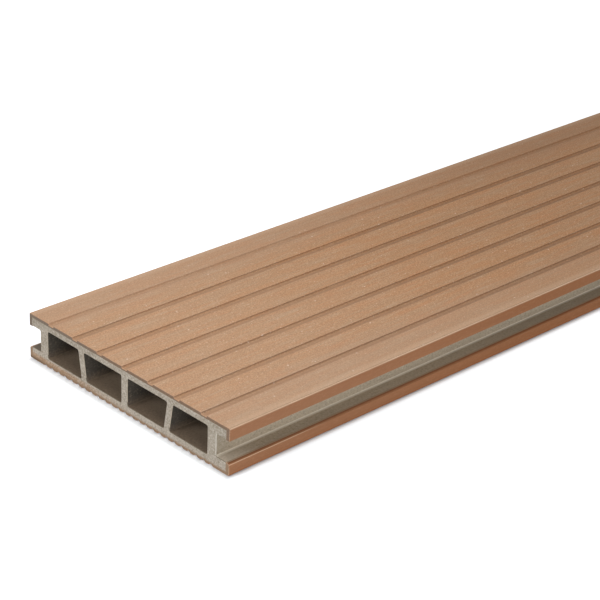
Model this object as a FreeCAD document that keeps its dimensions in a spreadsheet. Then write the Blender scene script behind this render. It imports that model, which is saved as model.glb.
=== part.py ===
# Hollow wood-plastic composite decking board, millimetres.
# The board lies on its ribbed side: length along Y, width along X, +Z up.
# The origin is the middle of its footprint, on the plane that it lies on.
import FreeCAD, Part
import Sketcher
import os

doc = FreeCAD.newDocument("decking_board")


# Driving dimensions
sizes = doc.addObject("Spreadsheet::Sheet", "sizes")
DRIVING_DIMENSIONS = [
    ("board_length", 2200.0, "stock length"),
    ("board_width", 150.0, "over both long edges"),
    ("board_height", 25.0, "underside lands to walking face"),
    ("top_skin", 0.9, "cap left under a walking-face groove"),
    ("bottom_skin", 0.55, "cap left over an underside trough"),
    ("side_skin", 2.2, "cap on the outer faces of the flanges"),
    ("top_plate", 4.9, "walking face to chamber roof"),
    ("bottom_plate", 5.0, "underside to chamber floor"),
    ("upper_flange", 6.5, "walking face to clip groove roof"),
    ("lower_flange", 6.7, "underside to clip groove floor"),
    ("lip_drop", 0.4, "cap hanging below the upper flange"),
    ("clip_groove_depth", 9.0, "long edge to clip groove back"),
    ("outer_wall", 6.0, "clip groove back to outer chamber"),
    ("centre_web", 4.7, "upright web in the middle"),
    ("slanted_web", 4.1, "measured level across the web"),
    ("web_offset", 32.3, "middle of a slanted web from the board's middle, half way up"),
    ("web_lean", 2.4, "how much nearer the middle a slanted web stands at its foot"),
    ("chamber_radius", 1.0, "chamber corners"),
    ("clip_groove_radius", 0.8, "inner corners of the clip grooves"),
    ("groove_pitch", 19.1, "walking-face grooves, centre to centre"),
    ("groove_width", 4.0, "walking-face groove at its mouth"),
    ("groove_slope", 0.4, "how far each side of the groove leans in"),
    ("groove_depth", 0.9, "walking-face groove"),
    ("least_top_land", 16.0, "long edge to the first groove's middle, at least"),
    ("trough_pitch", 5.2, "underside troughs, centre to centre"),
    ("trough_width", 2.2, "trough at its mouth, before the ribs are rounded"),
    ("trough_depth", 0.95, "underside trough"),
    ("rib_radius", 1.7, "rounding of the ribs"),
    ("least_underside_land", 11.0, "long edge to the first trough's middle, at least"),
    ("top_arris", 0.6, "rounding of the upper long edges"),
    ("lip_arris", 0.4, "rounding under the upper flange"),
    ("bevel_width", 1.5, "bevel on top of the lower flange, measured across"),
    ("bevel_height", 0.8, "the same bevel, measured down"),
    ("bottom_arris", 0.8, "rounding of the lower long edges"),
]
for row, (alias, value, meaning) in enumerate(DRIVING_DIMENSIONS, start=1):
    sizes.set(f"A{row}", alias)
    sizes.set(f"B{row}", str(value))
    sizes.set(f"C{row}", meaning)
    sizes.setAlias(f"B{row}", alias)
doc.recompute()


# Places that several pieces share, worked out from the sheet
HALF_WIDTH = "sizes.board_width / 2"
CORE_SIDE = f"({HALF_WIDTH} - sizes.side_skin)"
CORE_TOP = "(sizes.board_height - sizes.groove_depth - sizes.top_skin)"
CORE_BOTTOM = "(sizes.trough_depth + sizes.bottom_skin)"
CLIP_BACK = f"({HALF_WIDTH} - sizes.clip_groove_depth)"
CLIP_ROOF = "(sizes.board_height - sizes.upper_flange)"
CLIP_FLOOR = "sizes.lower_flange"
LIP_BOTTOM = f"({CLIP_ROOF} - sizes.lip_drop)"
CHAMBER_ROOF = "(sizes.board_height - sizes.top_plate)"
CHAMBER_FLOOR = "sizes.bottom_plate"
CHAMBER_OUTER = f"({CLIP_BACK} - sizes.outer_wall)"
WEB_HEAD = "(sizes.web_offset + sizes.web_lean / 2)"
WEB_FOOT = "(sizes.web_offset - sizes.web_lean / 2)"
HALF_WEB = "sizes.slanted_web / 2"
HALF_CENTRE_WEB = "sizes.centre_web / 2"
GROOVE_GAPS = "floor((sizes.board_width - 2 * sizes.least_top_land) / sizes.groove_pitch)"
TROUGH_GAPS = "floor((sizes.board_width - 2 * sizes.least_underside_land) / sizes.trough_pitch)"
OVERCUT = "1"

# Two places closer than this are the same corner
SAME_PLACE = 0.01


def millimetres(expression):
    """The present value of a sheet expression."""
    return float(sizes.evalExpression(expression.replace("sizes.", "")))


def new_body(name):
    """An empty body for one piece of the board."""
    body = doc.addObject("PartDesign::Body", name)
    body.Label = name
    return body


def section_sketch(body, name):
    """A sketch in the board's cross-section: across is X, up is Z."""
    sketch = body.newObject("Sketcher::SketchObject", name)
    planes = [plane for plane in body.Origin.OriginFeatures if plane.Role == "XZ_Plane"]
    sketch.AttachmentSupport = (planes[0], "")
    sketch.MapMode = "FlatFace"
    return sketch


def pin(sketch, edge, end, corner):
    """Hold one end of a sketch edge at a corner given as two sheet expressions."""
    for direction, expression in zip(("DistanceX", "DistanceY"), corner):
        number = sketch.addConstraint(
            Sketcher.Constraint(direction, -1, 1, edge, end, millimetres(expression)))
        sketch.setExpression(f"Constraints[{number}]", expression)


def closed_outline(sketch, corners):
    """A closed run of straight edges through the corners."""
    points = [FreeCAD.Vector(millimetres(across), millimetres(up), 0) for across, up in corners]
    first = sketch.GeometryCount
    for start, end in zip(points, points[1:] + points[:1]):
        sketch.addGeometry(Part.LineSegment(start, end), False)
    for offset, corner in enumerate(corners):
        previous = first + (offset - 1) % len(corners)
        sketch.addConstraint(Sketcher.Constraint("Coincident", previous, 2, first + offset, 1))
        pin(sketch, first + offset, 1, corner)


def mirrored(corners):
    """The same corners on the other side of the board's middle."""
    return [(f"-({across})", up) for across, up in reversed(corners)]


def extrude(body, sketch, name):
    """Carry a section over the whole length, half each way."""
    pad = body.newObject("PartDesign::Pad", name)
    pad.Profile = sketch
    pad.SideType = "Symmetric"
    pad.setExpression("Length", "sizes.board_length")


def cut_through(body, sketch, name):
    """Cut a section out over the whole length."""
    pocket = body.newObject("PartDesign::Pocket", name)
    pocket.Profile = sketch
    pocket.SideType = "Symmetric"
    pocket.setExpression("Length", f"sizes.board_length + 2 * {OVERCUT}")
    return pocket


def repeat_across(body, sketch, feature, gaps, pitch, name):
    """Copies of a cut, side by side across the board."""
    pattern = body.newObject("PartDesign::LinearPattern", name)
    pattern.Originals = [feature]
    pattern.Direction = (sketch, ["H_Axis"])
    pattern.setExpression("Length", f"{gaps} * {pitch}")
    pattern.setExpression("Occurrences", f"{gaps} + 1")
    body.Tip = pattern


def long_edges(shape, corners):
    """Names of the lengthwise edges that pass through the given section corners."""
    spots = [(millimetres(across), millimetres(up)) for across, up in corners]
    names = []
    for number, edge in enumerate(shape.Edges, start=1):
        box = edge.BoundBox
        if box.YLength < box.XLength + box.ZLength:
            continue
        if any(abs(box.Center.x - x) + abs(box.Center.z - z) < SAME_PLACE for x, z in spots):
            names.append(f"Edge{number}")
    return names


def both_sides(corners):
    """The corners with their mirror images."""
    return corners + mirrored(corners)


def round_off(body, corners, radius, name):
    """Round the lengthwise edges at the given corners."""
    doc.recompute()
    base = body.Tip
    fillet = body.newObject("PartDesign::Fillet", name)
    fillet.Base = (base, long_edges(base.Shape, corners))
    fillet.setExpression("Radius", radius)
    body.Tip = fillet


# Core: the grey hollow profile with four chambers and two open clip grooves
OUTER_CHAMBER = [
    (CHAMBER_OUTER, CHAMBER_FLOOR),
    (CHAMBER_OUTER, CHAMBER_ROOF),
    (f"({WEB_HEAD} + {HALF_WEB})", CHAMBER_ROOF),
    (f"({WEB_FOOT} + {HALF_WEB})", CHAMBER_FLOOR),
]
INNER_CHAMBER = [
    (f"({WEB_FOOT} - {HALF_WEB})", CHAMBER_FLOOR),
    (f"({WEB_HEAD} - {HALF_WEB})", CHAMBER_ROOF),
    (HALF_CENTRE_WEB, CHAMBER_ROOF),
    (HALF_CENTRE_WEB, CHAMBER_FLOOR),
]
CLIP_GROOVE = [
    (CLIP_BACK, CLIP_FLOOR),
    (CLIP_BACK, CLIP_ROOF),
    (f"({HALF_WIDTH} + {OVERCUT})", CLIP_ROOF),
    (f"({HALF_WIDTH} + {OVERCUT})", CLIP_FLOOR),
]
CHAMBERS = [OUTER_CHAMBER, INNER_CHAMBER, mirrored(INNER_CHAMBER), mirrored(OUTER_CHAMBER)]


def make_core():
    body = new_body("core")
    block = section_sketch(body, "core_block_outline")
    right_side = [(CORE_SIDE, CORE_BOTTOM), (CORE_SIDE, CORE_TOP)]
    closed_outline(block, both_sides(right_side))
    extrude(body, block, "core_block")
    chambers = section_sketch(body, "chamber_outlines")
    for chamber in CHAMBERS:
        closed_outline(chambers, chamber)
    cut_through(body, chambers, "chambers")
    grooves = section_sketch(body, "clip_groove_outlines")
    for groove in (CLIP_GROOVE, mirrored(CLIP_GROOVE)):
        closed_outline(grooves, groove)
    cut_through(body, grooves, "clip_grooves")
    chamber_corners = [corner for chamber in CHAMBERS for corner in chamber]
    round_off(body, chamber_corners, "sizes.chamber_radius", "chamber_rounds")
    groove_corners = both_sides(CLIP_GROOVE[:2])
    round_off(body, groove_corners, "sizes.clip_groove_radius", "clip_groove_rounds")
    return body


# Top cap: the brown skin over the walking face and down the upper flanges
def make_top_cap():
    body = new_body("top_cap")
    outline = section_sketch(body, "top_cap_outline")
    right_side = [
        (CORE_SIDE, CORE_TOP),
        (CORE_SIDE, LIP_BOTTOM),
        (HALF_WIDTH, LIP_BOTTOM),
        (HALF_WIDTH, "sizes.board_height"),
    ]
    closed_outline(outline, both_sides(right_side))
    extrude(body, outline, "top_cap_band")
    mouth = "sizes.groove_width / 2"
    first_middle = f"(-{GROOVE_GAPS} / 2 * sizes.groove_pitch)"
    floor_level = "(sizes.board_height - sizes.groove_depth)"
    above = f"(sizes.board_height + {OVERCUT})"
    groove = section_sketch(body, "groove_outline")
    closed_outline(groove, [
        (f"{first_middle} - {mouth} + sizes.groove_slope", floor_level),
        (f"{first_middle} + {mouth} - sizes.groove_slope", floor_level),
        (f"{first_middle} + {mouth}", "sizes.board_height"),
        (f"{first_middle} + {mouth}", above),
        (f"{first_middle} - {mouth}", above),
        (f"{first_middle} - {mouth}", "sizes.board_height"),
    ])
    cut = cut_through(body, groove, "groove")
    repeat_across(body, groove, cut, GROOVE_GAPS, "sizes.groove_pitch", "grooves")
    upper = both_sides([(HALF_WIDTH, "sizes.board_height")])
    round_off(body, upper, "sizes.top_arris", "top_arrises")
    lips = both_sides([(HALF_WIDTH, LIP_BOTTOM)])
    round_off(body, lips, "sizes.lip_arris", "lip_arrises")
    return body


# Bottom cap: the brown skin under the board, ribbed, and up the lower flanges
def trough_sketch(body, left, right, middle):
    """One round trough: an arc from rim to rim, closed by a box below the board."""
    sketch = section_sketch(body, "trough_outline")
    below = f"-{OVERCUT}"
    rim_left = FreeCAD.Vector(millimetres(left), 0, 0)
    rim_right = FreeCAD.Vector(millimetres(right), 0, 0)
    low_left = FreeCAD.Vector(rim_left.x, millimetres(below), 0)
    low_right = FreeCAD.Vector(rim_right.x, millimetres(below), 0)
    crown = FreeCAD.Vector(millimetres(middle), millimetres("sizes.trough_depth"), 0)
    sketch.addGeometry(Part.Arc(rim_right, crown, rim_left), False)
    sketch.addGeometry(Part.LineSegment(rim_left, low_left), False)
    sketch.addGeometry(Part.LineSegment(low_left, low_right), False)
    sketch.addGeometry(Part.LineSegment(low_right, rim_right), False)
    for edge, end, other in ((0, 2, 1), (1, 2, 2), (2, 2, 3), (3, 2, 0)):
        sketch.addConstraint(Sketcher.Constraint("Coincident", edge, end, other, 1))
    pin(sketch, 0, 1, (right, "0"))
    pin(sketch, 0, 2, (left, "0"))
    pin(sketch, 2, 1, (left, below))
    pin(sketch, 2, 2, (right, below))
    radius = "((sizes.trough_width / 2) ^ 2 + sizes.trough_depth ^ 2) / (2 * sizes.trough_depth)"
    number = sketch.addConstraint(Sketcher.Constraint("Radius", 0, millimetres(radius)))
    sketch.setExpression(f"Constraints[{number}]", radius)
    return sketch


def make_bottom_cap():
    body = new_body("bottom_cap")
    outline = section_sketch(body, "bottom_cap_outline")
    right_side = [
        (HALF_WIDTH, "0"),
        (HALF_WIDTH, f"({CLIP_FLOOR} - sizes.bevel_height)"),
        (f"({HALF_WIDTH} - sizes.bevel_width)", CLIP_FLOOR),
        (CORE_SIDE, CLIP_FLOOR),
        (CORE_SIDE, CORE_BOTTOM),
    ]
    closed_outline(outline, both_sides(right_side))
    extrude(body, outline, "bottom_cap_band")
    first_middle = f"(-{TROUGH_GAPS} / 2 * sizes.trough_pitch)"
    half_trough = "sizes.trough_width / 2"
    left = f"{first_middle} - {half_trough}"
    right = f"{first_middle} + {half_trough}"
    trough = trough_sketch(body, left, right, first_middle)
    cut = cut_through(body, trough, "trough")
    repeat_across(body, trough, cut, TROUGH_GAPS, "sizes.trough_pitch", "troughs")
    gaps = round(millimetres(TROUGH_GAPS))
    rib_edges = []
    for number in range(gaps + 1):
        step = f"{number} * sizes.trough_pitch"
        rib_edges += [(f"{left} + {step}", "0"), (f"{right} + {step}", "0")]
    round_off(body, rib_edges, "sizes.rib_radius", "rib_rounds")
    lower = both_sides([(HALF_WIDTH, "0")])
    round_off(body, lower, "sizes.bottom_arris", "bottom_arrises")
    return body


pieces = [make_core(), make_top_cap(), make_bottom_cap()]
doc.recompute()

for item in doc.Objects:
    if "Invalid" in item.State or "Error" in item.State:
        raise RuntimeError(f"{item.Label} did not rebuild")
os.makedirs("parts", exist_ok=True)
for piece in pieces:
    shape = piece.Shape
    if shape.isNull() or not shape.isValid() or len(shape.Solids) != 1:
        raise RuntimeError(f"{piece.Label} is not one sound solid")
    shape.exportStep(f"parts/{piece.Label}.step")
    print(piece.Label, round(shape.Volume, 1), shape.BoundBox)
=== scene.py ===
"""A hollow composite decking board, lying on its ribbed side and seen from one sawn end."""
import math

import bpy
import numpy as np
from mathutils import Matrix, Vector
from mathutils.geometry import tessellate_polygon


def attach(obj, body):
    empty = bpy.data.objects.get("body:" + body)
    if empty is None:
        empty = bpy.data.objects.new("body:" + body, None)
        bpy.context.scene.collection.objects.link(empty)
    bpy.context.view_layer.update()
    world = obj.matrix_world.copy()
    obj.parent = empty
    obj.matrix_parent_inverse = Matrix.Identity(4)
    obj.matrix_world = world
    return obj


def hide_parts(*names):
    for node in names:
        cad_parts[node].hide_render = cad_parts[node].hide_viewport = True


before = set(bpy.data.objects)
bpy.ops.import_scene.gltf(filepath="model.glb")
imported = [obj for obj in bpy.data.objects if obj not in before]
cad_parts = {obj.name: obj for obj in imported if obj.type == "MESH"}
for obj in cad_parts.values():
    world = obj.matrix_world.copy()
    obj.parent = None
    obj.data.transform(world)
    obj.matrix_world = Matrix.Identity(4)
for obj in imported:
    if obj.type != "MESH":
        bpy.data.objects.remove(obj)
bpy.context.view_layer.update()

MM = 0.001

# The board's section in millimetres: X across from the middle, Z up from the underside
LENGTH = 2200.0
HALF_WIDTH = 75.0
HEIGHT = 25.0
CORE_SIDE = 72.8
CORE_TOP = 23.2
CORE_BOTTOM = 1.5
CLIP_BACK = 66.0
CLIP_ROOF = 18.5
CLIP_FLOOR = 6.7
CLIP_ROUND = 0.8
LIP_BOTTOM = 18.1
LIP_ARRIS = 0.4
TOP_ARRIS = 0.6
BOTTOM_ARRIS = 0.8
BEVEL_FOOT = 5.9
BEVEL_HEAD = 73.5
BEVEL_ARRIS = 0.35
CHAMBER_FLOOR = 5.0
CHAMBER_ROOF = 20.1
CHAMBER_ROUND = 1.0

# Each right chamber's outer side and inner side: how far across each stands at floor and roof
OUTER_CHAMBER = ((60.0, 60.0), (33.15, 35.55))
INNER_CHAMBER = ((29.05, 31.45), (2.35, 2.35))

# Walking-face grooves
GROOVE_PITCH = 19.1
GROOVE_PLACES = np.arange(-3, 4) * GROOVE_PITCH
GROOVE_MOUTH = 2.0
GROOVE_FOOT = 1.6
GROOVE_FLOOR = 24.1
GROOVE_ROUND = 0.25

# Underside ribs, each trough a hollow arc between two round shoulders
TROUGH_PITCH = 5.2
TROUGH_COUNT = 25
TROUGH_RADIUS = 1.112
TROUGH_CENTRE = -0.162
TROUGH_CROWN = 0.12
SHOULDER_RADIUS = 1.7
SHOULDER_PLACE = 2.107
SHOULDER_START = 0.833

# The saw leaves a fine rim around each opening of the cut
SAWN_RIM = 0.22

# Sections stand at these distances from each sawn end, and one more at the middle
STATION_DISTANCES = (0, SAWN_RIM, 2, 6, 14, 30, 60, 110, 180, 270, 380, 500, 640, 780, 920)

# Heights or widths less than this apart are the same, and shorter sides of an outline are left out
SAME_PLACE = 0.01
SHORTEST_SIDE = 1e-4

# Sides of an outline whose normals have a larger cosine between them are in line, and faces that
# meet at a larger angle have a sharp edge
IN_LINE = 0.995
SHARP_ANGLE = math.radians(32)


# Section outlines: counter-clockwise round material, clockwise round a chamber

def rounded(corners, radii, steps=6):
    """A closed outline with its corners rounded.

    The centre of each round lies on the corner's bisector, radius / sin(half the corner's angle)
    from the corner. Its points swing evenly from one tangent point to the other.
    """
    here = np.asarray(corners, float)
    radii = np.broadcast_to(np.asarray(radii, float), len(here))[:, None]
    back = np.roll(here, 1, axis=0) - here
    ahead = np.roll(here, -1, axis=0) - here
    back /= np.linalg.norm(back, axis=1, keepdims=True)
    ahead /= np.linalg.norm(ahead, axis=1, keepdims=True)
    half = np.arccos(np.clip((back * ahead).sum(1, keepdims=True), -1, 1)) / 2
    bisector = back + ahead
    bisector /= np.linalg.norm(bisector, axis=1, keepdims=True)
    centre = here + bisector * radii / np.sin(half)
    first = here + back * radii / np.tan(half) - centre
    last = here + ahead * radii / np.tan(half) - centre
    swing = (math.pi - 2 * half)[:, None]
    share = np.linspace(0, 1, steps)[None, :, None]
    arcs = np.sin((1 - share) * swing) * first[:, None] + np.sin(share * swing) * last[:, None]
    return without_repeats((centre[:, None] + arcs / np.sin(swing)).reshape(-1, 2))


def without_repeats(outline):
    """The outline without points that lie on the one before."""
    step = np.linalg.norm(outline - np.roll(outline, 1, axis=0), axis=1)
    return outline[step > SHORTEST_SIDE]


def mirrored(points):
    """The same points on the board's other side, in the order that keeps the outline's turn."""
    return np.asarray(points, float)[::-1] * (-1, 1)


def rib_heights(across):
    """Height of the underside over one trough's pitch.

    Up to the shoulder's start it is the trough's arc, then the shoulder's arc, then the flat tip.
    """
    away = np.abs(across)
    trough = TROUGH_CENTRE + np.sqrt(np.maximum(TROUGH_RADIUS ** 2 - away ** 2, 0))
    reach = np.clip(SHOULDER_PLACE - away, 0, SHOULDER_RADIUS)
    shoulder = SHOULDER_RADIUS - np.sqrt(SHOULDER_RADIUS ** 2 - reach ** 2)
    return np.where(away < SHOULDER_START, trough, shoulder)


def ribbed_line():
    """The ribbed stretch of the underside, from left to right: one trough's curve, repeated."""
    trough_side = np.linspace(TROUGH_CROWN, SHOULDER_START, 4)
    shoulder_side = np.linspace(SHOULDER_START, SHOULDER_PLACE, 6)[1:]
    half = np.concatenate([trough_side, shoulder_side])
    one = np.concatenate([-half[::-1], half])
    places = (np.arange(TROUGH_COUNT) - (TROUGH_COUNT - 1) / 2) * TROUGH_PITCH
    across = (places[:, None] + one).ravel()
    return np.stack([across, np.tile(rib_heights(one), TROUGH_COUNT)], axis=1)


def walking_cap_outline():
    """The upper cap: arrises and grooves over the walking face, lips down both long sides."""
    right_lip = [(CORE_SIDE, CORE_TOP), (CORE_SIDE, LIP_BOTTOM),
                 (HALF_WIDTH, LIP_BOTTOM), (HALF_WIDTH, HEIGHT)]
    groove = np.array([(GROOVE_MOUTH, HEIGHT), (GROOVE_FOOT, GROOVE_FLOOR),
                       (-GROOVE_FOOT, GROOVE_FLOOR), (-GROOVE_MOUTH, HEIGHT)])
    shifts = np.stack([GROOVE_PLACES[::-1], np.zeros(len(GROOVE_PLACES))], axis=1)
    grooves = (groove + shifts[:, None]).reshape(-1, 2)
    lip_rounds = [0, 0, LIP_ARRIS, TOP_ARRIS]
    corners = np.concatenate([right_lip, grooves, mirrored(right_lip)])
    radii = lip_rounds + [GROOVE_ROUND] * len(grooves) + lip_rounds[::-1]
    return rounded(corners, radii)


def ribbed_cap_outline():
    """The lower cap: ribs under the board, arrises and bevels up both lower flanges."""
    right_side = [(HALF_WIDTH, 0), (HALF_WIDTH, BEVEL_FOOT), (BEVEL_HEAD, CLIP_FLOOR),
                  (CORE_SIDE, CLIP_FLOOR), (CORE_SIDE, CORE_BOTTOM)]
    rounds = [BOTTOM_ARRIS, BEVEL_ARRIS, 0, 0, 0]
    band = rounded(np.concatenate([right_side, mirrored(right_side)]), rounds + rounds[::-1])
    return np.concatenate([ribbed_line(), band])


def core_outline():
    """The core's outside: flanges on both sides with a clip groove between them."""
    right_side = [(CORE_SIDE, CORE_BOTTOM), (CORE_SIDE, CLIP_FLOOR), (CLIP_BACK, CLIP_FLOOR),
                  (CLIP_BACK, CLIP_ROOF), (CORE_SIDE, CLIP_ROOF), (CORE_SIDE, CORE_TOP)]
    rounds = [0, 0, CLIP_ROUND, CLIP_ROUND, 0, 0]
    return rounded(np.concatenate([right_side, mirrored(right_side)]), rounds + rounds[::-1])


def chamber_outlines():
    """The four chambers, each clockwise: two with a slanted web, mirrored for the other side."""
    right = []
    for (outer_foot, outer_head), (inner_foot, inner_head) in (OUTER_CHAMBER, INNER_CHAMBER):
        corners = [(outer_foot, CHAMBER_FLOOR), (inner_foot, CHAMBER_FLOOR),
                   (inner_head, CHAMBER_ROOF), (outer_head, CHAMBER_ROOF)]
        right.append(rounded(corners, CHAMBER_ROUND))
    return right + [mirrored(chamber) for chamber in right]


def drawn_in(outline, widths):
    """The outline with each side moved into the material by its own width.

    With n and m the outward normals of a corner's two sides, a and b their widths and c = n.m,
    the corner moves by -((a - c b) n + (b - c a) m) / (1 - c c); where the sides are almost in
    line, by minus the middle width along n.
    """
    along = np.roll(outline, -1, axis=0) - outline
    along /= np.linalg.norm(along, axis=1, keepdims=True)
    after = np.stack([along[:, 1], -along[:, 0]], axis=1)
    before = np.roll(after, 1, axis=0)
    a, b = np.roll(widths, 1)[:, None], widths[:, None]
    c = (before * after).sum(1, keepdims=True)
    straight = c > IN_LINE
    spread = np.where(straight, 1, 1 - c * c)
    corner = ((a - c * b) * before + (b - c * a) * after) / spread
    return outline - np.where(straight, before * (a + b) / 2, corner)


# Meshes: section outlines carried along the board

def stations():
    """Places along Y, in millimetres: close together at the sawn ends, wide apart between."""
    near = np.array(STATION_DISTANCES) - LENGTH / 2
    return np.concatenate([near, [0], -near[::-1]])


def sawn_triangles(rings):
    """Triangles that close both sawn ends: the near end's, then the far end's turned over.

    A ring is one outline at the end, with its vertices' numbers on the near and on the far end.
    All rings are filled together, so that a ring inside another one stays an opening. A triangle
    whose two sides have a cross product below 0 is turned, so that all face the same way.
    """
    outlines = [[Vector((x, z, 0)) for x, z in end] for end, _, _ in rings]
    flat = np.array(tessellate_polygon(outlines))
    corners = np.concatenate([end for end, _, _ in rings])[flat]
    side_a, side_b = corners[:, 1] - corners[:, 0], corners[:, 2] - corners[:, 0]
    turned = side_a[:, 0] * side_b[:, 1] - side_a[:, 1] * side_b[:, 0] < 0
    flat[turned] = flat[turned][:, ::-1]
    near = np.concatenate([first for _, first, _ in rings])[flat]
    far = np.concatenate([last for _, _, last in rings])[flat][:, ::-1]
    return np.concatenate([near, far])


def carried(outlines, is_free):
    """Vertices and faces of section outlines carried along Y, with both sawn ends closed.

    A vertex is (x, y, z) = (outline x, station, outline z). On the first and the last station
    the free sides are drawn in by the sawn rim. Returns the vertices, the long faces and the end
    triangles, with each long face's place in its section and whether it lies on the rim.
    """
    places = stations()
    vertices, long_faces, middles, on_rim, rings = [], [], [], [], []
    total = 0
    for outline in outlines:
        count = len(outline)
        middle = (outline + np.roll(outline, -1, axis=0)) / 2
        end = drawn_in(outline, np.where(is_free(middle), SAWN_RIM, 0.0))
        section = np.stack([end] + [outline] * (len(places) - 2) + [end])
        grid = np.empty((len(places), count, 3))
        grid[..., 0] = section[..., 0]
        grid[..., 1] = places[:, None]
        grid[..., 2] = section[..., 1]
        vertices.append(grid.reshape(-1, 3))
        number = total + np.arange(len(places) * count).reshape(len(places), count)
        beside = np.roll(number, -1, axis=1)
        faces = np.stack([number[:-1], number[1:], beside[1:], beside[:-1]], axis=-1)
        long_faces.append(faces.reshape(-1, 4))
        middles.append(np.tile(middle, (len(places) - 1, 1)))
        strip = np.repeat(np.arange(len(places) - 1), count)
        on_rim.append((strip == 0) | (strip == len(places) - 2))
        rings.append((end, number[0], number[-1]))
        total += len(places) * count
    return (np.concatenate(vertices) * MM, np.concatenate(long_faces), sawn_triangles(rings),
            np.concatenate(middles), np.concatenate(on_rim))


def make_piece(name, node, outlines, is_free, finish_of, finishes):
    """A piece of the board from its section outlines, with a finish for each stretch of them.

    The last two finishes are those of the sawn rim and of the sawn end itself.
    """
    vertices, long_faces, ends, middles, on_rim = carried(outlines, is_free)
    mesh = bpy.data.meshes.new(name)
    mesh.from_pydata(vertices, [], long_faces.tolist() + ends.tolist())
    for material in finishes:
        mesh.materials.append(material)
    rim, sawn = len(finishes) - 2, len(finishes) - 1
    along_board = np.where(on_rim & is_free(middles), rim, finish_of(middles))
    index = np.concatenate([along_board, np.full(len(ends), sawn)]).astype(np.int32)
    mesh.polygons.foreach_set("material_index", index)
    mesh.polygons.foreach_set("use_smooth", np.ones(len(index), bool))
    mesh.set_sharp_from_angle(angle=SHARP_ANGLE)
    mesh.update()
    piece = bpy.data.objects.new(name, mesh)
    bpy.context.scene.collection.objects.link(piece)
    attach(piece, "root")
    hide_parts(node)


# Materials. A finish starts from one colour, and each further line lays a tint over it:
# (where it lies * how strong it is).blend(the colour so far, the tint)

def srgb(red, green, blue):
    """A colour given in screen values from 0 to 255, as the linear values that shaders take."""
    level = np.array([red, green, blue]) / 255
    linear = np.where(level <= 0.04045, level / 12.92, ((level + 0.055) / 1.055) ** 2.4)
    return (*linear.tolist(), 1.0)


def plug(node, values):
    """Give a node's inputs their values, or link them where a value is a field."""
    for key, value in dict(values).items():
        if isinstance(value, Field):
            value.tree.links.new(value.socket, node.inputs[key])
        else:
            node.inputs[key].default_value = value


class Field:
    """A shader socket with arithmetic: an expression on fields adds its Math nodes."""

    def __init__(self, tree, socket=None):
        self.tree = tree
        self.socket = socket

    def node(self, kind, values=(), output=0, **settings):
        """Add a node of any kind: its settings first, then its inputs' values or links."""
        made = self.tree.nodes.new("ShaderNode" + kind)
        for name, value in settings.items():
            setattr(made, name, value)
        plug(made, values)
        return Field(self.tree, made.outputs[output])

    def math(self, operation, *values):
        return self.node("Math", enumerate(values), operation=operation)

    def __add__(self, other):
        return self.math("ADD", self, other)

    def __radd__(self, other):
        return self.math("ADD", other, self)

    def __sub__(self, other):
        return self.math("SUBTRACT", self, other)

    def __rsub__(self, other):
        return self.math("SUBTRACT", other, self)

    def __mul__(self, other):
        return self.math("MULTIPLY", self, other)

    def __rmul__(self, other):
        return self.math("MULTIPLY", other, self)

    def __abs__(self):
        return self.math("ABSOLUTE", self)

    def larger(self, other):
        """The larger one of this field and another, or a number."""
        return self.math("MAXIMUM", self, other)

    def between(self, low, high):
        """0 below low, 1 above high and smooth between; the other way round where low > high."""
        start, end = (0.0, 1.0) if low < high else (1.0, 0.0)
        limits = {0: self, 1: min(low, high), 2: max(low, high), 3: start, 4: end}
        return self.node("MapRange", limits, interpolation_type="SMOOTHSTEP")

    def blend(self, first, second):
        """The first colour where this field is 0, the second where it is 1."""
        return self.node("Mix", {0: self, 6: first, 7: second}, output=2, data_type="RGBA")


class Grain:
    """Patterns laid out in the board's own frame, in millimetres.

    across, along and up are a place's coordinates. from_saw is its distance from the nearer sawn
    end, half the length less the size of along.
    """

    def __init__(self, tree):
        start = Field(tree)
        place = start.node("TexCoord", output="Object")
        self.place = start.node("VectorMath", {0: place, 3: 1 / MM}, operation="SCALE")
        self.across, self.along, self.up = (
            start.node("SeparateXYZ", {0: self.place}, output=axis) for axis in range(3))
        self.from_saw = LENGTH / 2 - abs(self.along)

    def cells(self, size, stretch, shift):
        """A place counted in cells, longer along the board by the stretch: place / size + shift."""
        values = {0: self.place, 1: (1 / size, 1 / (size * stretch), 1 / size), 2: shift}
        return self.place.node("VectorMath", values, operation="MULTIPLY_ADD")

    def noise(self, size, stretch=1.0, seed=0.0, detail=2.0, roughness=0.5):
        """Soft noise from 0 to 1 with blotches of a size; another seed gives another pattern."""
        spot = self.cells(size, stretch, (seed * 17.3, seed * 41.9, seed * 7.7))
        inputs = {"Vector": spot, "Scale": 1.0, "Detail": detail, "Roughness": roughness}
        return self.place.node("TexNoise", inputs)

    def flecks(self, spacing, size, seed):
        """1 inside scattered flecks of a size, soft towards their rims, and 0 outside."""
        spot = self.cells(spacing, 1.0, (seed * 13.1, seed * 29.7, seed * 5.3))
        distance = self.place.node("TexVoronoi", {"Vector": spot, "Scale": 1.0})
        reach = size / (2 * spacing)
        return distance.between(reach, reach * 0.4)


def new_material(name):
    """An empty material, with its node tree and its shader."""
    material = bpy.data.materials.new(name)
    material.use_nodes = True
    tree = material.node_tree
    shader = next(node for node in tree.nodes if node.type == "BSDF_PRINCIPLED")
    return material, tree, shader


def finish(name, build, roughness, specular=0.35):
    """A material from build(grain): its colour, gloss field, relief and the relief's depth in mm.

    Roughness runs from its first value where the gloss field is 0 to its second where it is 1.
    """
    material, tree, shader = new_material(name)
    colour, gloss, relief, depth = build(Grain(tree))
    bump = {"Height": relief, "Distance": depth * MM, "Strength": 1.0}
    plug(shader, {"Base Color": colour,
                  "Roughness": gloss * (roughness[1] - roughness[0]) + roughness[0],
                  "Specular IOR Level": specular,
                  "Normal": relief.node("Bump", bump)})
    return material


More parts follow.
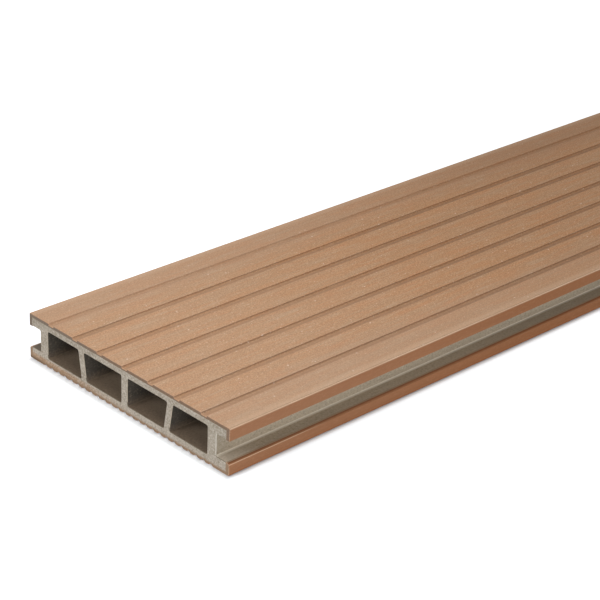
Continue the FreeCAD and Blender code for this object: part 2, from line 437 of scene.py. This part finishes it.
def sanded_cap(grain):
    """The sanded walking face.

    Tan with long orange and pale streaks, fibres, salt-like speckle and pale flecks. A painted
    sheen makes it paler by the sawn ends. It is greyer towards both sides and rubbed along their
    edges, and painted shade makes it browner further along the left. Painted shade darkens the
    groove floors, most along their middle and far from the saw, and lies as a dark line on each
    groove wall. Both are fainter by the left edge.
    """
    streaks = grain.noise(6, stretch=16, seed=1, detail=3)
    base = streaks.between(0.3, 0.7).blend(srgb(183, 140, 102), srgb(190, 140, 97))
    blotches = grain.noise(3.0, stretch=7, seed=7, detail=3, roughness=0.6)
    base = (blotches.between(0.5, 0.68) * 0.35).blend(base, srgb(198, 136, 90))
    base = (blotches.between(0.48, 0.3) * 0.4).blend(base, srgb(192, 159, 128))
    fibres = grain.noise(1.0, stretch=24, seed=9, detail=3, roughness=0.65)
    base = (fibres.between(0.52, 0.64) * 0.4).blend(base, srgb(202, 136, 88))
    base = (fibres.between(0.48, 0.36) * 0.35).blend(base, srgb(204, 172, 142))
    speckle = grain.noise(0.55, stretch=1.8, seed=2, detail=2, roughness=0.8)
    base = (speckle.between(0.5, 0.62) * 0.42).blend(base, srgb(224, 184, 147))
    base = (speckle.between(0.5, 0.38) * 0.38).blend(base, srgb(142, 95, 60))
    base = (grain.flecks(2.6, 0.9, seed=3) * 0.55).blend(base, srgb(234, 210, 186))
    base = (grain.flecks(8, 1.2, seed=4) * 0.9).blend(base, srgb(238, 216, 194))
    # Painted sheen: a pale haze by the sawn ends
    base = (grain.from_saw.between(260, 0) * 0.12).blend(base, srgb(224, 208, 190))
    greyed = abs(grain.across).between(42, 60) * (0.1 + grain.from_saw.between(400, 160) * 0.2)
    base = greyed.blend(base, srgb(188, 156, 131))
    # Painted shade: browner and darker further along the left
    far_left_shade = grain.across.between(-30, -60) * grain.from_saw.between(200, 380)
    base = (far_left_shade * 0.3).blend(base, srgb(150, 108, 76))
    rubbed = abs(grain.across).between(HALF_WIDTH - 5.5, HALF_WIDTH - 1.5)
    base = (rubbed * 0.3).blend(base, srgb(222, 190, 160))
    # Painted shade on the groove floors: darker along their middle and further from the saw, eased
    # near the walls and by the left edge
    shade_fades_left = 1 - grain.across.between(-46, -56) * 0.65
    off_middle = abs(grain.across.math("SINE", grain.across * (math.pi / GROOVE_PITCH)))
    floor = grain.up.between(GROOVE_FLOOR + 0.4, GROOVE_FLOOR + 0.1) * shade_fades_left
    floor = floor * (1 - off_middle.between(0.02, 0.26) * 0.5)
    chatter = grain.noise(2.2, stretch=0.5, seed=5).between(0.35, 0.65)
    floor_tint = grain.from_saw.between(60, 260).blend(srgb(170, 131, 100), srgb(149, 111, 81))
    base = (floor * (0.62 + chatter * 0.3)).blend(base, floor_tint)
    # Painted shade: a dark line on the upper part of each groove wall
    wall_shade = grain.up.between(HEIGHT - 0.55, HEIGHT - 0.4) * grain.up.between(HEIGHT, HEIGHT - 0.06)
    base = (wall_shade * shade_fades_left * 0.47).blend(base, srgb(108, 76, 52))
    brushed = grain.noise(0.35, stretch=26, seed=6, detail=3, roughness=0.6)
    return base, speckle, brushed * 0.6 + speckle * 0.4, 0.12


def extruded_cap(grain):
    """The cap as the die leaves it on the long sides.

    Smooth, deeper and redder than the sanded face, with fine die lines. A faint painted sheen
    makes it paler by the sawn ends. It is rubbed pale below the upper arris, with painted light at
    the foot and painted shade on the bevel, and a pale ledge above it.
    """
    drift = grain.noise(7, stretch=30, seed=11, detail=2)
    base = drift.between(0.3, 0.7).blend(srgb(163, 105, 64), srgb(170, 111, 70))
    dust = grain.noise(0.8, stretch=3, seed=12, detail=3, roughness=0.7)
    base = (dust.between(0.5, 0.72) * 0.2).blend(base, srgb(202, 152, 112))
    base = (dust.between(0.5, 0.28) * 0.2).blend(base, srgb(144, 90, 54))
    # Painted sheen: a faint pale haze by the sawn ends
    base = (grain.from_saw.between(240, 0) * 0.06).blend(base, srgb(224, 208, 190))
    rubbed = grain.up.between(HEIGHT - 1.1, HEIGHT - TOP_ARRIS)
    base = (rubbed * 0.8).blend(base, srgb(216, 178, 142))
    # Painted light: lighter at the foot of the side, where the floor beside it lies in shade
    foot = grain.up.between(2.6, 0.6)
    base = (foot * 0.35).blend(base, srgb(192, 130, 84))
    lower_flange = grain.up.between(CLIP_FLOOR + 1.3, CLIP_FLOOR + 0.3)
    # Painted shade: dark on the bevel under the flange above
    bevel = grain.up.between(BEVEL_FOOT, BEVEL_FOOT + 0.6) * lower_flange
    base = (bevel * 0.72).blend(base, srgb(112, 69, 43))
    ledge = grain.up.between(CLIP_FLOOR - 0.15, CLIP_FLOOR - 0.05) * lower_flange
    base = (ledge * 0.8).blend(base, srgb(172, 152, 128))
    die_lines = grain.noise(0.5, stretch=400, seed=13, detail=2)
    return base, dust, die_lines, 0.03


def worn_arris(grain):
    """The cap rubbed pale along its long edges, the lower one only near the saw cut."""
    rub = grain.noise(1.2, stretch=18, seed=21, detail=3)
    base = rub.between(0.3, 0.7).blend(srgb(216, 176, 142), srgb(232, 196, 164))
    lower = grain.up.between(12, 10) * grain.from_saw.between(20, 70)
    base = lower.blend(base, srgb(150, 98, 62))
    return base, rub, rub, 0.03


def extruded_core(grain):
    """The bare core in the clip grooves: grey, with fine dark and pale dust.

    Painted shade makes it darker by the saw, and a painted highlight lies as a pale line in the
    corner at the back. On the flange below painted light makes it pale close to the saw, and
    painted shade makes it darker further along and darkest in the left groove.
    """
    drift = grain.noise(5, stretch=14, seed=31, detail=3)
    base = drift.between(0.3, 0.7).blend(srgb(190, 174, 151), srgb(200, 184, 160))
    dust = grain.noise(0.9, stretch=1.6, seed=32, detail=3, roughness=0.75)
    base = (dust.between(0.5, 0.7) * 0.55).blend(base, srgb(222, 213, 197))
    base = (dust.between(0.5, 0.3) * 0.6).blend(base, srgb(136, 124, 106))
    base = (grain.flecks(2.2, 0.8, seed=33) * 0.5).blend(base, srgb(228, 220, 206))
    # Painted shade: darker above the flange close to the saw
    shade_by_saw = grain.from_saw.between(14, 1)
    above_flange = grain.up.between(CLIP_FLOOR + 0.3, CLIP_FLOOR + 1.1)
    base = (shade_by_saw * above_flange * 0.32).blend(base, srgb(130, 118, 102))
    # Painted highlight: a pale line along the corner at the foot of the back wall
    corner = abs(grain.across).between(CLIP_BACK + 1.4, CLIP_BACK + 0.9)
    corner = corner * grain.up.between(CLIP_FLOOR + 0.8, CLIP_FLOOR + 0.4)
    base = (corner * 0.75).blend(base, srgb(242, 233, 216))
    # Painted light: the flange paler close to the saw
    flange = grain.up.between(CLIP_FLOOR + 0.3, CLIP_FLOOR + 0.1)
    base = (flange * grain.from_saw.between(24, 8) * 0.22).blend(base, srgb(240, 231, 216))
    # Painted shade: the flange darker further from the saw, darkest in the left groove
    shade = 0.2 + grain.from_saw.between(130, 250) * 0.25
    base = (flange * shade).blend(base, srgb(118, 108, 96))
    left_groove_shade = grain.across.between(6 - CLIP_BACK, -CLIP_BACK)
    base = (flange * left_groove_shade * 0.85).blend(base, srgb(96, 84, 70))
    return base, dust, dust, 0.05


def shaded_chamber_wall(grain):
    """The core inside its chambers in painted shade: dark walls, lighter below, and a floor darker
    at the mouth and paler further in.
    """
    # Painted shade: the core's grey made dark inside the chambers
    drift = grain.noise(6, stretch=3, seed=41, detail=3)
    base = drift.between(0.3, 0.7).blend(srgb(75, 70, 63), srgb(86, 80, 72))
    lower = grain.up.between(CHAMBER_FLOOR + 5, CHAMBER_FLOOR + 0.3)
    base = (lower * 0.85).blend(base, srgb(121, 106, 91))
    floor = grain.up.between(CHAMBER_FLOOR + 0.6, CHAMBER_FLOOR + 0.1)
    floor_tint = grain.from_saw.between(0, 22).blend(srgb(124, 106, 87), srgb(190, 168, 144))
    base = (floor * 0.85).blend(base, floor_tint)
    dust = grain.noise(0.9, stretch=1.5, seed=42, detail=3, roughness=0.7)
    base = (dust.between(0.5, 0.7) * 0.4).blend(base, srgb(158, 140, 118))
    base = (dust.between(0.5, 0.3) * 0.4).blend(base, srgb(74, 64, 52))
    return base, dust, dust, 0.05


def sawn_core(grain):
    """The core cut across.

    Mottled beige-grey with crumbs and pale flecks, paler below, darker to the right and at the
    upper left. The saw has smeared the cap's tan into it at the lower left and along its foot.
    """
    clouds = grain.noise(4.5, seed=51, detail=4, roughness=0.6)
    base = clouds.between(0.32, 0.68).blend(srgb(175, 162, 145), srgb(192, 180, 164))
    base = (grain.up.between(9, 4.5) * 0.35).blend(base, srgb(208, 196, 181))
    base = (grain.across.between(20, 60) * 0.2).blend(base, srgb(158, 144, 125))
    upper_left = grain.up.between(20, 21.5) * grain.across.between(-12, -28)
    base = (upper_left * 0.35).blend(base, srgb(156, 143, 125))
    crumbs = grain.noise(1.0, seed=52, detail=3, roughness=0.75)
    base = (crumbs.between(0.5, 0.66) * 0.75).blend(base, srgb(214, 205, 191))
    base = (crumbs.between(0.5, 0.34) * 0.72).blend(base, srgb(144, 130, 112))
    base = (grain.flecks(5, 0.9, seed=53) * 0.7).blend(base, srgb(230, 224, 212))
    lower_left = grain.up.between(CHAMBER_FLOOR - 0.1, CHAMBER_FLOOR - 2)
    lower_left = lower_left * grain.across.between(14, -50)
    patchy = grain.noise(3, seed=54, detail=3, roughness=0.6).between(0.35, 0.6)
    smear = lower_left * (0.6 + patchy * 0.4)
    tan = crumbs.between(0.4, 0.6).blend(srgb(162, 122, 86), srgb(196, 163, 131))
    base = (smear * 0.85).blend(base, tan)
    foot = grain.up.between(CORE_BOTTOM + 1, CORE_BOTTOM + 0.3)
    foot_strength = 0.5 + grain.across.between(0, -60) * 0.35
    base = (foot * foot_strength).blend(base, srgb(164, 133, 105))
    marks = grain.noise(0.9, seed=55, detail=3)
    return base, crumbs, marks * 0.5 + crumbs * 0.5, 0.1


def sawn_cap(grain):
    """The cap cut across: brown, greyer to the left, tan under the board, with painted shade at its
    lower left.
    """
    base = grain.across.between(10, -60).blend(srgb(134, 108, 87), srgb(129, 112, 97))
    base = grain.up.between(9, 7).blend(base, srgb(162, 132, 105))
    # Painted shade at the cap's lower left
    left_foot_shade = grain.across.between(-60, -68) * grain.up.between(1.8, 1.0)
    base = (left_foot_shade * 0.6).blend(base, srgb(104, 88, 72))
    crumbs = grain.noise(0.8, seed=61, detail=3, roughness=0.75)
    base = (crumbs.between(0.5, 0.72) * 0.4).blend(base, srgb(164, 138, 114))
    base = (crumbs.between(0.5, 0.28) * 0.4).blend(base, srgb(92, 76, 62))
    return base, crumbs, crumbs, 0.08


def cut_rim(grain):
    """The burr along the cut's edges: palest in the clip grooves, dull along floors and flanges."""
    rub = grain.noise(0.8, seed=71, detail=3)
    base = rub.between(0.3, 0.7).blend(srgb(180, 167, 146), srgb(202, 188, 167))
    clip_groove = abs(grain.across).between(CLIP_BACK - 5, CLIP_BACK - 3)
    base = clip_groove.blend(base, srgb(234, 226, 212))
    low = grain.up.between(CLIP_FLOOR + 0.8, CLIP_FLOOR + 0.2)
    base = low.blend(base, srgb(124, 111, 94))
    return base, rub, rub, 0.04


def cut_cap_rim(grain):
    """The burr along the cap's edges, in the cap's tan."""
    rub = grain.noise(0.8, seed=72, detail=3)
    base = rub.between(0.3, 0.7).blend(srgb(176, 136, 106), srgb(202, 162, 130))
    return base, rub, rub, 0.04


walking = finish("sanded_walking_face", sanded_cap, (0.62, 0.85))
long_side = finish("extruded_cap", extruded_cap, (0.45, 0.6), specular=0.15)
arris = finish("worn_arris", worn_arris, (0.4, 0.6))
bare_core = finish("extruded_core", extruded_core, (0.6, 0.8))
chamber = finish("shaded_chamber_wall", shaded_chamber_wall, (0.7, 0.85))
sawn_grey = finish("sawn_core", sawn_core, (0.8, 0.95))
sawn_brown = finish("sawn_cap", sawn_cap, (0.75, 0.9))
rim_grey = finish("core_burr", cut_rim, (0.6, 0.8))
rim_brown = finish("cap_burr", cut_cap_rim, (0.55, 0.75))


# The three pieces. The rules below are given the middle of each side of a section

def core_side_is_free(middles):
    """Sides of the core's section that no cap lies on: clip grooves and chambers."""
    across, up = np.abs(middles[:, 0]), middles[:, 1]
    beside_cap = across > CORE_SIDE - SAME_PLACE
    return ~(beside_cap | (up > CORE_TOP - SAME_PLACE) | (up < CORE_BOTTOM + SAME_PLACE))


def core_finish(middles):
    """0 for the clip grooves and what the caps hide, 1 for the chambers."""
    return (np.abs(middles[:, 0]) < CLIP_BACK - 1) * core_side_is_free(middles)


def cap_side_is_free(middles):
    """Sides of a cap's section that don't lie on the core."""
    across, up = np.abs(middles[:, 0]), middles[:, 1]
    over_core = (np.abs(up - CORE_TOP) < SAME_PLACE) & (across < CORE_SIDE)
    under_core = (np.abs(up - CORE_BOTTOM) < SAME_PLACE) & (across < CORE_SIDE)
    beside_core = (across < CORE_SIDE + SAME_PLACE) & (up > CORE_BOTTOM) & (up < CORE_TOP)
    return ~(over_core | under_core | beside_core)


def walking_cap_finish(middles):
    """0 for the sanded face and its grooves, 1 for the smooth lips, 2 for the worn arrises."""
    across, up = np.abs(middles[:, 0]), middles[:, 1]
    lip = across > HALF_WIDTH - 2.5
    sanded = up > HEIGHT - 0.25 * TOP_ARRIS
    worn = lip & (up > HEIGHT - TOP_ARRIS) & ~sanded
    return np.where(worn, 2, np.where(lip & ~sanded, 1, 0))


def ribbed_cap_finish(middles):
    """0 for the smooth faces, 1 for the worn arris on the lower flange."""
    across, up = np.abs(middles[:, 0]), middles[:, 1]
    return ((across > BEVEL_HEAD + 0.9) & (np.abs(up - BEVEL_FOOT) < BEVEL_ARRIS)).astype(int)


make_piece("grey_core", "core", [core_outline(), *chamber_outlines()],
           core_side_is_free, core_finish, [bare_core, chamber, rim_grey, sawn_grey])
make_piece("walking_cap", "top_cap", [walking_cap_outline()],
           cap_side_is_free, walking_cap_finish,
           [walking, long_side, arris, rim_brown, sawn_brown])
make_piece("ribbed_cap", "bottom_cap", [ribbed_cap_outline()],
           cap_side_is_free, ribbed_cap_finish, [long_side, arris, rim_brown, sawn_brown])


# Floor, light and camera, in metres

FLOOR_REACH = 30.0
FLOOR_COLOUR = (0.835, 0.87, 0.905, 1)
FLOOR_COLOUR_RIGHT = (0.835, 0.92, 0.98, 1)
STUDIO_LIGHT = 0.36

# How much brighter the camera sees the floor than its light makes it: by the sawn ends, along the
# board, far away, and as painted light at the mouths of the underside's troughs
LIFT_BY_SAW = 0.52
LIFT_ALONG = 0.7
LIFT_FAR = 0.75
LIFT_TROUGH = 0.2

# Beside the board the shadow that the lift paints fades this many times faster than before its
# ends, and on the left side this many millimetres sooner
SIDE_FADE = 1.25
LEFT_SOONER = 3

# Each softbox: name, place, what it faces, side and power
SOFTBOXES = (
    ("near_softbox", (0.0, -1.09, 0.33), (0.0, -1.09, 0.0), 0.3, 0.46),
    ("middle_softbox", (0.0, 0.2, 0.5), (0.0, 0.2, 0.0), 0.4, 0.86),
    ("back_softbox", (0.0, 0.85, 0.5), (0.0, 0.85, 0.0), 0.4, 0.86),
    ("end_softbox", (-0.25, -2.05, 0.75), (0.0, -1.1, 0.0), 0.5, 3.6),
    ("side_softbox", (1.05, -1.5, 0.3), (0.0, -1.1, 0.0), 0.5, 2.8),
)

# The camera as the board's edges in the photo give it: turns in degrees, lens and sensor in
# millimetres
CAMERA_PLACE = (0.6205, -1.59914, 0.45531)
CAMERA_AZIMUTH, CAMERA_ELEVATION, CAMERA_ROLL = 45.295, 26.257, 2.41
CAMERA_LENS, CAMERA_SENSOR = 114.27, 36.0
CAMERA_NEAREST, CAMERA_FARTHEST = 0.05, 100


def studio_rays(start):
    """1 for rays that see the studio itself: the camera's, and reflected or transmitted ones."""
    camera, glossy, through = (start.node("LightPath", output=kind) for kind in
                               ("Is Camera Ray", "Is Glossy Ray", "Is Transmission Ray"))
    return camera.larger(glossy.larger(through))


def floor_lift(grain):
    """How much brighter than lit the floor looks, so that it is white with a narrow shadow.

    The distance from the board is the larger of that beyond its ends and SIDE_FADE times that
    beside it. With it the lift grows from 0 at the outline to the usual one, and far away passes
    into the far one, so that the lift paints how narrow the shadow is. The usual lift grows along
    the board, away from the saw. At a sawn end a little painted light is added at the mouth of
    each trough.
    """
    beside = (grain.across.larger(LEFT_SOONER - grain.across) - HALF_WIDTH) * SIDE_FADE
    beyond = abs(grain.along) - LENGTH / 2
    from_board = beside.larger(beyond)
    # Painted shadow: the lift fades towards the outline, which sets the shadow's width
    close = from_board.between(-0.5, 4.4)
    away = from_board.between(10, 120)
    usual = grain.from_saw.between(-100, 400) * (LIFT_ALONG - LIFT_BY_SAW) + LIFT_BY_SAW
    # Painted light: a brighter floor at the mouth of each trough under a sawn end
    trough = beside.math("COSINE", grain.across * (math.tau / TROUGH_PITCH)).between(-0.7, 0.8)
    mouth = beyond.between(-4, -1.5) * beyond.between(2.2, -0.2) * beside.between(-10, -12)
    return close * usual + away * (LIFT_FAR - usual) + trough * mouth * LIFT_TROUGH


def make_floor():
    """A plain pale floor that the camera sees as white, apart from the board's shadow, whose narrow
    width the lift paints.

    Beyond the right side it is a little cooler, which makes up for the brown light off that side.
    """
    mesh = bpy.data.meshes.new("floor")
    quarters = np.array([(-1, -1, 0), (1, -1, 0), (1, 1, 0), (-1, 1, 0)])
    mesh.from_pydata(quarters * FLOOR_REACH, [], [(0, 1, 2, 3)])
    floor = bpy.data.objects.new("floor", mesh)
    bpy.context.scene.collection.objects.link(floor)
    material, tree, shader = new_material("pale_floor")
    grain = Grain(tree)
    right_side = grain.across.between(HALF_WIDTH + 0.5, HALF_WIDTH + 2)
    plug(shader, {"Base Color": right_side.blend(FLOOR_COLOUR, FLOOR_COLOUR_RIGHT),
                  "Roughness": 1.0,
                  "Specular IOR Level": 0.0,
                  "Emission Color": studio_rays(grain.place) * floor_lift(grain),
                  "Emission Strength": 1.0})
    mesh.materials.append(material)


def make_world():
    """Even studio light from all round; white where the camera or a reflection sees it."""
    world = bpy.data.worlds.new("studio")
    world.use_nodes = True
    background = next(node for node in world.node_tree.nodes if node.type == "BACKGROUND")
    strength = studio_rays(Field(world.node_tree)) * (1 - STUDIO_LIGHT) + STUDIO_LIGHT
    plug(background, {"Color": (1, 1, 1, 1), "Strength": strength})
    bpy.context.scene.world = world


def make_softbox(name, place, target, side, power):
    """A square softbox at a place, turned to a target."""
    light = bpy.data.lights.new(name, "AREA")
    light.shape = "SQUARE"
    light.size = side
    light.energy = power
    lamp = bpy.data.objects.new(name, light)
    lamp.location = place
    aim = Vector(target) - Vector(place)
    lamp.rotation_euler = aim.to_track_quat("-Z", "Y").to_euler()
    lamp.visible_camera = False
    bpy.context.scene.collection.objects.link(lamp)


def make_camera():
    """The camera beside the board's sawn end, at the photo's angle and slight tilt."""
    azimuth, elevation, roll = (math.radians(angle) for angle in
                                (CAMERA_AZIMUTH, CAMERA_ELEVATION, CAMERA_ROLL))
    forward = Vector((-math.sin(azimuth) * math.cos(elevation),
                      math.cos(azimuth) * math.cos(elevation), -math.sin(elevation)))
    level = forward.cross(Vector((0, 0, 1))).normalized()
    upright = level.cross(forward)
    right = math.cos(roll) * level + math.sin(roll) * upright
    up = math.cos(roll) * upright - math.sin(roll) * level
    data = bpy.data.cameras.new("camera")
    data.sensor_width = CAMERA_SENSOR
    data.lens = CAMERA_LENS
    data.clip_start, data.clip_end = CAMERA_NEAREST, CAMERA_FARTHEST
    camera = bpy.data.objects.new("camera", data)
    turn = Matrix((right, up, -forward)).transposed().to_4x4()
    camera.matrix_world = Matrix.Translation(CAMERA_PLACE) @ turn
    bpy.context.scene.collection.objects.link(camera)
    bpy.context.scene.camera = camera


make_floor()
make_world()
for softbox in SOFTBOXES:
    make_softbox(*softbox)
make_camera()
bpy.context.scene.view_settings.view_transform = "Standard"
